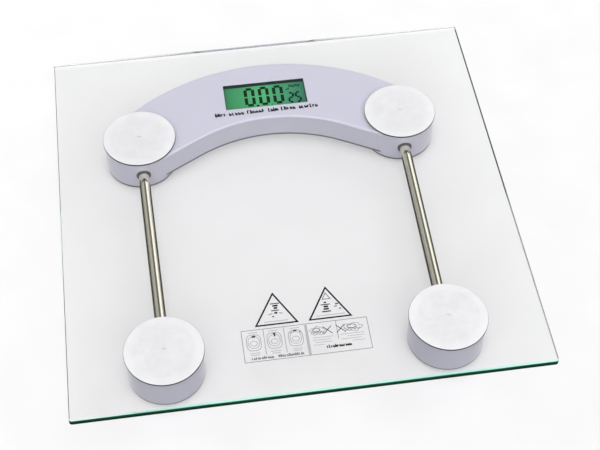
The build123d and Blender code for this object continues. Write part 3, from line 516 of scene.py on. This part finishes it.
def stroke(path, width, low, high, closed=False):
    """A flat bar along a path. At each point the path's normal n is its direction turned a right angle,
    and the bar's four corners are path + n * width / 2 and path - n * width / 2, at low and at high."""
    path = np.asarray(path, float)
    if closed:
        ahead = np.roll(path, -1, 0) - path
        behind = path - np.roll(path, 1, 0)
    else:
        ahead = np.diff(path, axis=0, append=2 * path[-1:] - path[-2:-1])
        behind = np.diff(path, axis=0, prepend=2 * path[:1] - path[1:2])
    ahead /= np.linalg.norm(ahead, axis=1, keepdims=True)
    behind /= np.linalg.norm(behind, axis=1, keepdims=True)
    along = ahead + behind
    along /= np.linalg.norm(along, axis=1, keepdims=True)
    stretch = 1 / np.clip((along * ahead).sum(1, keepdims=True), 0.35, 1.0)
    normal = np.c_[-along[:, 1], along[:, 0]] * stretch * width / 2
    count = len(path)
    ring = np.stack([path + normal, path - normal, path - normal, path + normal], 1)
    heights = np.broadcast_to(np.array([high, high, low, low])[None, :, None], (count, 4, 1))
    points = np.concatenate([ring, heights], 2).reshape(-1, 3)
    steps = np.arange(count if closed else count - 1)
    corner = np.arange(4)
    here = steps[:, None] * 4 + corner
    there = ((steps[:, None] + 1) % count) * 4 + corner
    sides = np.stack([here, np.roll(here, -1, 1), np.roll(there, -1, 1), there], 2).reshape(-1, 4)
    if closed:
        return points, sides
    last = (count - 1) * 4
    ends = np.array([[3, 2, 1, 0], [last, last + 1, last + 2, last + 3]])
    return points, np.concatenate([sides, ends])


def join(parts):
    """One array of points and one of faces from several."""
    points, faces, offset = [], [], 0
    for some_points, some_faces in parts:
        points.append(some_points)
        faces.append(some_faces + offset)
        offset += len(some_points)
    return np.concatenate(points), np.concatenate(faces)


# The digits that light each of the seven segments
SEGMENTS = {
    "a": "02356789",
    "b": "01234789",
    "c": "013456789",
    "d": "0235689",
    "e": "0268",
    "f": "045689",
    "g": "2345689",
}


def digit(symbol, corner, width, height, thick, low, high):
    """Seven bars on a figure of eight. Each runs between two of its six nodes, short of both by a gap."""
    left, right = thick / 2, width - thick / 2
    bottom, centre, top = thick / 2, height / 2, height - thick / 2
    ends = {
        "a": ((left, top), (right, top)),
        "b": ((right, centre), (right, top)),
        "c": ((right, bottom), (right, centre)),
        "d": ((left, bottom), (right, bottom)),
        "e": ((left, bottom), (left, centre)),
        "f": ((left, centre), (left, top)),
        "g": ((left, centre), (right, centre)),
    }
    gap = 0.3 * thick
    parts = []
    for name, (start, end) in ends.items():
        if symbol not in SEGMENTS[name]:
            continue
        start, end = np.array(start), np.array(end)
        along = (end - start) / np.linalg.norm(end - start)
        path = np.array([start + along * gap, end - along * gap]) + corner
        parts.append(stroke(path, thick, low, high))
    return parts


def on_display(path):
    """Millimetres from the window's middle to metres in the frame."""
    return np.asarray(path, float) * MM + np.array(WINDOW_MIDDLE)


def display_digits(material):
    """Three tall zeros, a point, and two small digits as seven-segment bars on the display's face."""
    low, high = LCD_TOP + 0.01 * MM, LCD_TOP + INK_HEIGHT
    parts = []
    for left in (-15.1, -4.7, 5.7):
        parts += digit("0", on_display((left, -8.9)), 7.8 * MM, 18.2 * MM, 2.35 * MM, low, high)
    for left, symbol in ((16.3, "2"), (21.5, "5")):
        parts += digit(symbol, on_display((left, -9.4)), 4.6 * MM, 10.8 * MM, 1.6 * MM, low, high)
    for right, bottom, size in ((-6.2, -8.8, 1.7), (4.3, -8.8, 0.8)):
        path = on_display(((right - size / 2, bottom), (right + size / 2, bottom)))
        parts.append(stroke(path, size * MM, low, high))
    return make_piece("lcd_digits", *join(parts), material, "lcd_face")


def display_marks(material):
    """Small unit flags beside the digits: short upright ticks and one dash."""
    low, high = LCD_TOP + 0.01 * MM, LCD_TOP + INK_HEIGHT
    parts = []
    for x, tilt in ((18.6, 0.5), (20.0, -0.5), (21.4, 0.0), (22.8, 0.5), (24.2, -0.5), (25.6, 0.0)):
        path = on_display(((x - tilt, 6.2), (x + tilt, 8.6)))
        parts.append(stroke(path, 0.8 * MM, low, high))
    parts.append(stroke(on_display(((15.6, 4.2), (18.2, 4.8))), 0.9 * MM, low, high))
    return make_piece("lcd_unit_marks", *join(parts), material, "lcd_face")


def rectangle(centre, width, height):
    """Corners of a rectangle, anticlockwise."""
    x, y = centre
    return np.array([(x - width / 2, y - height / 2), (x + width / 2, y - height / 2),
                     (x + width / 2, y + height / 2), (x - width / 2, y + height / 2)])


def display_surround(material):
    """The display's dark border: a gasket line round the window and a broad band along its far side, which is
    partly the display's dark edge and partly painted shadow of the recess.
    """
    low, high = LCD_TOP + 0.005 * MM, LCD_TOP + 0.06 * MM
    width, height = WINDOW_SIZE
    line = 0.5 * MM
    loop = rectangle(WINDOW_MIDDLE, width - line - 0.1 * MM, height - line - 0.1 * MM)
    # The band is partly the display's dark border and partly painted shadow cast by the window's far wall.
    band_y = WINDOW_MIDDLE.y + height / 2 - 0.9 * MM
    band = np.array([(-width / 2 + line, band_y), (width / 2 - line, band_y)])
    parts = [stroke(loop, line, low, high, closed=True), stroke(band, 0.8 * MM, low, high)]
    lining = rectangle(WINDOW_MIDDLE, width - 0.35 * MM, height - 0.35 * MM)
    parts.append(stroke(lining, 0.25 * MM, LCD_TOP + 0.07 * MM, ARCH_TOP - 0.05 * MM, closed=True))
    return make_piece("lcd_surround", *join(parts), material, "black_rubber")


def greeked(start, end, height, low, high, weight, groups, seed):
    """A line of marks that stands in for lettering. Each group of upright and slanting ticks fills its
    share of the line; a tick's foot, top, slant and cross stroke come from a seeded random sequence."""
    chance = np.random.default_rng(seed)
    start, end = np.array(start), np.array(end)
    along = (end - start) / np.linalg.norm(end - start)
    up = np.array([-along[1], along[0]])
    parts = []
    for first, last in groups:
        length = np.linalg.norm(end - start)
        count = max(2, round((last - first) * length / (height * 0.62)))
        for place in np.linspace(first, last, count, endpoint=False):
            foot = start + along * place * length
            wide = height * 0.3
            top = height * chance.choice((0.72, 0.72, 1.0))
            kind = chance.integers(3)
            parts.append(stroke((foot, foot + up * top), weight, low, high))
            if kind > 0:
                side = foot + along * wide
                parts.append(stroke((side, side + up * top * 0.7), weight, low, high))
            across = foot + up * top * chance.choice((0.0, 0.5, 0.85))
            parts.append(stroke((across, across + along * wide), weight * 0.8, low, high))
    return parts


def legend(material):
    """The row of small print on the crescent below the display, as greeked marks."""
    low, high = ARCH_TOP - 0.01 * MM, ARCH_TOP + INK_HEIGHT
    groups = ((0.0, 0.11), (0.135, 0.285), (0.31, 0.485), (0.515, 0.615), (0.64, 0.785), (0.815, 1.0))
    line = np.array(((-37.6, 86.2), (36.6, 86.7))) * MM
    ticks = join(greeked(*line, 3.4 * MM, low, high, 0.95 * MM, groups, 5))
    return make_piece("display_legend", *ticks, material, "black_rubber")


def triangle(apex, base_left, base_right, width, low, high):
    return stroke(np.array((apex, base_left, base_right)) * MM, width * MM, low, high, closed=True)


def rounded(centre, width, height, corner, count=24):
    """A superellipse, |x/a|^n + |y/b|^n = 1, with n from the corner's roundness."""
    turn = np.linspace(0, 2 * math.pi, count, endpoint=False)
    cos, sin = np.cos(turn), np.sin(turn)
    x = np.sign(cos) * np.abs(cos) ** corner * width / 2
    y = np.sign(sin) * np.abs(sin) ** corner * height / 2
    return (np.c_[x, y] + centre) * MM


def prints_under_glass(dark, middle_grey, pale):
    """Generic symbols on the underside of the glass near the front: two triangles with plain glyphs, and a
    ruled panel with small outlines of a scale and of cloud-like shapes. None carries a word."""
    high, low = GLASS_LOW.z - 0.01 * MM, GLASS_LOW.z - INK_HEIGHT
    lines = {"dark": [], "grey": [], "pale": []}

    def draw(tone, path, width):
        lines[tone].append(stroke(np.asarray(path, float) * MM, width * MM, low, high))

    def loop(tone, path, width):
        lines[tone].append(stroke(path, width * MM, low, high, closed=True))

    def bars(tone, rows):
        """Level bars from (left, right, y, width) rows."""
        for left, right, y, width in rows:
            draw(tone, ((left, y), (right, y)), width)

    lines["dark"].append(triangle((-18.0, -73.5), (-31.3, -96.8), (-5.1, -96.8), 1.1, low, high))
    lines["dark"].append(triangle((16.1, -73.5), (2.8, -96.8), (29.1, -96.8), 1.1, low, high))
    # Left triangle: a spinning-top glyph of stacked bars with a dot and dashes under it.
    spinning_top = ((-20.6, -14.6, -81.2, 0.7), (-19.2, -15.8, -82.9, 1.3), (-18.6, -16.4, -84.7, 1.4))
    base = ((-20.4, -15.4, -86.5, 0.7), (-18.6, -16.8, -88.4, 1.4))
    bars("dark", spinning_top + base)
    draw("grey", ((-22.6, -89.4), (-19.9, -88.6)), 0.5)
    draw("grey", ((-15.6, -88.6), (-13.6, -89.2)), 0.5)
    draw("dark", ((-20.3, -91.0), (-19.1, -91.0)), 0.9)
    draw("pale", ((-26.0, -94.6), (-10.6, -94.6)), 0.5)
    # Right triangle: a small triangle over stacked bars, with a smaller stack beside them.
    lines["grey"].append(triangle((15.4, -77.6), (12.9, -82.3), (18.0, -82.3), 0.5, low, high))
    stack = ((13.4, 15.0, -84.9, 1.1), (11.2, 17.2, -86.5, 0.7), (12.9, 15.8, -88.1, 1.4))
    bars("dark", stack + ((12.6, 16.0, -89.9, 1.2), (11.4, 17.0, -91.8, 0.9)))
    bars("grey", ((20.4, 22.4, -86.8, 1.2), (19.6, 21.4, -88.6, 0.8), (22.4, 23.8, -90.6, 1.0)))
    draw("pale", ((7.0, -94.6), (25.5, -94.6)), 0.5)
    # Panel: outline, dividers and the pale bar between its halves.
    loop("grey", rectangle(np.array((-1.4, -111.1)) * MM, 79.6 * MM, 23.3 * MM), 0.35)
    draw("pale", ((-0.6, -99.9), (-0.6, -122.4)), 1.7)
    draw("grey", ((-27.4, -99.8), (-27.4, -118.6)), 0.3)
    draw("grey", ((-14.6, -99.8), (-14.6, -118.6)), 0.3)
    draw("grey", ((18.6, -99.8), (18.6, -113.0)), 0.3)
    # Left half: three outlines of a scale with its dark display.
    for x in (-34.2, -21.2, -7.8):
        loop("pale", rounded((x, -108.8), 9.0, 11.8, 0.62), 0.6)
        loop("pale", rounded((x, -108.6), 7.0, 8.6, 0.8), 0.5)
        loop("pale", rounded((x, -109.4), 4.2, 3.6, 0.9), 0.5)
        draw("pale", ((x - 3.0, -101.4), (x + 3.0, -101.4)), 0.5)
        draw("pale", ((x - 2.6, -118.0), (x + 2.6, -118.0)), 0.5)
        draw("pale", ((x - 3.2, -116.6), (x + 3.2, -116.6)), 0.5)
    draw("dark", ((-35.0, -104.4), (-32.8, -104.2)), 1.3)
    draw("dark", ((-20.9, -103.4), (-20.6, -105.8)), 0.9)
    draw("grey", ((-21.6, -103.6), (-19.9, -103.6)), 0.9)
    draw("dark", ((-8.8, -103.4), (-6.6, -103.2)), 1.0)
    draw("grey", ((-10.9, -104.6), (-9.4, -103.8)), 0.5)
    draw("grey", ((-5.2, -103.8), (-4.2, -105.2)), 0.5)
    # Right half: scribbled outlines, two crosses and ruled lines.
    turn = np.linspace(0, 2 * math.pi, 40, endpoint=False)
    for x, wide, phase in ((6.2, 4.6, 0.4), (28.6, 5.8, 1.9)):
        reach = 1 + 0.14 * np.sin(5 * turn + phase) + 0.08 * np.sin(9 * turn)
        cloud = np.c_[x + wide * reach * np.cos(turn), -105.6 + 2.9 * reach * np.sin(turn)] * MM
        loop("pale", cloud, 0.5)
        inner = np.c_[x - 0.6 + 0.5 * wide * np.cos(turn), -104.9 + 1.3 * reach * np.sin(turn)] * MM
        loop("grey", inner, 0.5)
        run = x - wide * 0.8 + 1.6 * wide * turn / turn[-1]
        draw("grey", np.c_[run, -106.8 + 0.7 * np.sin(4 * turn + phase)], 0.4)
    for x in (12.6, 21.0):
        draw("dark", ((x - 2.8, -102.8), (x + 2.9, -108.6)), 0.5)
        draw("dark", ((x + 2.8, -102.8), (x - 2.9, -108.6)), 0.5)
    bars("pale", ((2.6, 15.6, -110.6, 0.4), (2.6, 13.4, -112.4, 0.4)))
    bars("pale", ((4.0, 14.6, -114.2, 0.4), (2.4, 9.0, -116.0, 0.4)))
    bars("pale", ((20.4, 35.2, -110.2, 0.4), (24.0, 35.2, -112.0, 0.4)))
    bars("pale", ((20.4, 33.0, -113.8, 0.4), (27.0, 35.0, -115.6, 0.4)))
    caption = np.array(((-36.6, -121.4), (-3.4, -121.4))) * MM
    lines["grey"] += greeked(*caption, 2.0 * MM, low, high, 0.5 * MM, ((0.0, 0.42), (0.5, 1.0)), 11)
    caption = np.array(((10.6, -119.0), (26.4, -119.0))) * MM
    lines["dark"] += greeked(*caption, 2.2 * MM, low, high, 0.65 * MM, ((0.0, 1.0),), 12)
    for tone, material in (("dark", dark), ("grey", middle_grey), ("pale", pale)):
        make_piece(f"glass_print_{tone}", *join(lines[tone]), material, "black_rubber")


# Putting it together


make_camera()
make_world()

flags = segment_ink()
surround = moulded_plastic("black gasket rubber", "06120e", "0a1814", 0.7)
black_ink = screen_ink("black screen ink", "101012", "1a1a1e")
grey_ink = screen_ink("grey screen ink", "5c5c62", "68686e")
pale_ink = screen_ink("pale grey screen ink", "a6a6ac", "b2b2b6")

display_digits(flags)
display_marks(flags)
display_surround(moulded_plastic("dark green display gasket and painted shadow", "0a2623", "0e302c", 0.6))
legend(black_ink)
prints_under_glass(black_ink, grey_ink, pale_ink)

LOOKS = {
    "tempered_glass": float_glass(),
    "housing_paint": silver_lilac_paint("satin silver-lilac paint", "cbcbd9", "d1d1df", crescent=True),
    "cover_abs": moulded_plastic("textured silver ABS", "b4b6c0", "bbbdc7", 0.5),
    "clear_adhesive": clear_adhesive(),
    "zinc_steel": plated_steel("zinc-plated steel plate", "b4b6ba", "c2c4c6", 0.34),
    "white_sealant": moulded_plastic("white silicone sealant", "e6e6e0", "ecece8", 0.42, 1.5, 0.05),
    "foot_abs": moulded_plastic("grey moulded ABS", "686a6e", "707277", 0.5),
    "foot_rubber": moulded_plastic("matt grey rubber", "37383a", "404144", 0.8, 0.7, 0.03),
    "black_rubber": surround,
    "cable_pvc": moulded_plastic("smooth red PVC", "a81c1a", "b42420", 0.35, 3.0, 0.01),
    "stainless_tube": polished_stainless(),
    "board_laminate": solder_mask(),
    "chip_resin": moulded_plastic("glossy black resin", "0e0e0f", "141416", 0.18, 3.0, 0.03),
    "board_parts": moulded_plastic("component bodies", "2a2a2c", "38383a", 0.45),
    "lcd_face": display_face(),
    "light_guide": moulded_plastic("acrylic light guide", "7fd08a", "88d893", 0.3, 2.0, 0.01),
    "frame_abs": moulded_plastic("white moulded ABS", "e4e4e6", "eaeaec", 0.5),
    "coin_steel": plated_steel("bright nickel-plated can", "d0cfcc", "dad9d6", 0.2),
    "nickel_strip": plated_steel("nickel-plated spring strip", "c8c2b4", "d2ccc0", 0.26),
    "button_abs": moulded_plastic("dark moulded ABS", "44454a", "4c4d52", 0.48),
    "switch_body": moulded_plastic("black moulded nylon", "1c1c1e", "242427", 0.55),
    "screw_steel": plated_steel("zinc-plated screws", "aeb0b2", "bcbec0", 0.3),
}
# The front pods get a darker copy of the housing's paint: painted shade on the front pods' sides.
shaded_pod_paint = silver_lilac_paint("satin silver paint on the front pods", "babac9", "c0c0cf")
grommet_rubber = moulded_plastic("grey grommet rubber", "4c5252", "565c5b", 0.6)
for part in frame["record"]["subparts"]:
    node, slot = part["node"], part["material_slot"]
    look = spun_aluminium(middle(node)) if slot == "spun_aluminium" else LOOKS[slot]
    look = grommet_rubber if node.endswith("_tube_grommet") else look
    look = shaded_pod_paint if node in ("front_left_pod", "front_right_pod") else look
    mesh = frame["nodes"][node].data
    mesh.materials.clear()
    mesh.materials.append(look)

# The clear pads touch cap and glass, so they are drawn a hair smaller: no two faces share a plane.
for place in PLACES:
    shrink = frame["nodes"][f"{place}_bond_pad"].modifiers.new("hair", "DISPLACE")
    shrink.strength = -0.02 * MM
    shrink.mid_level = 0.0

floor_mesh = bpy.data.meshes.new("floor")
floor_corners = rectangle((0.0, 0.0), 2 * FLOOR_REACH, 2 * FLOOR_REACH)
floor_mesh.from_pydata([(x, y, 0.0) for x, y in floor_corners.tolist()], [], [(0, 1, 2, 3)])
floor_mesh.materials.append(pale_floor())
floor = bpy.data.objects.new("floor", floor_mesh)
bpy.context.collection.objects.link(floor)

make_lamp("left softbox", (-0.95, 0.85, 0.4), SOFTBOX_SIZE, 3.8)
make_lamp("right softbox", (0.95, 0.85, 0.4), SOFTBOX_SIZE, 1.9)
bpy.context.scene.view_settings.view_transform = "Standard"
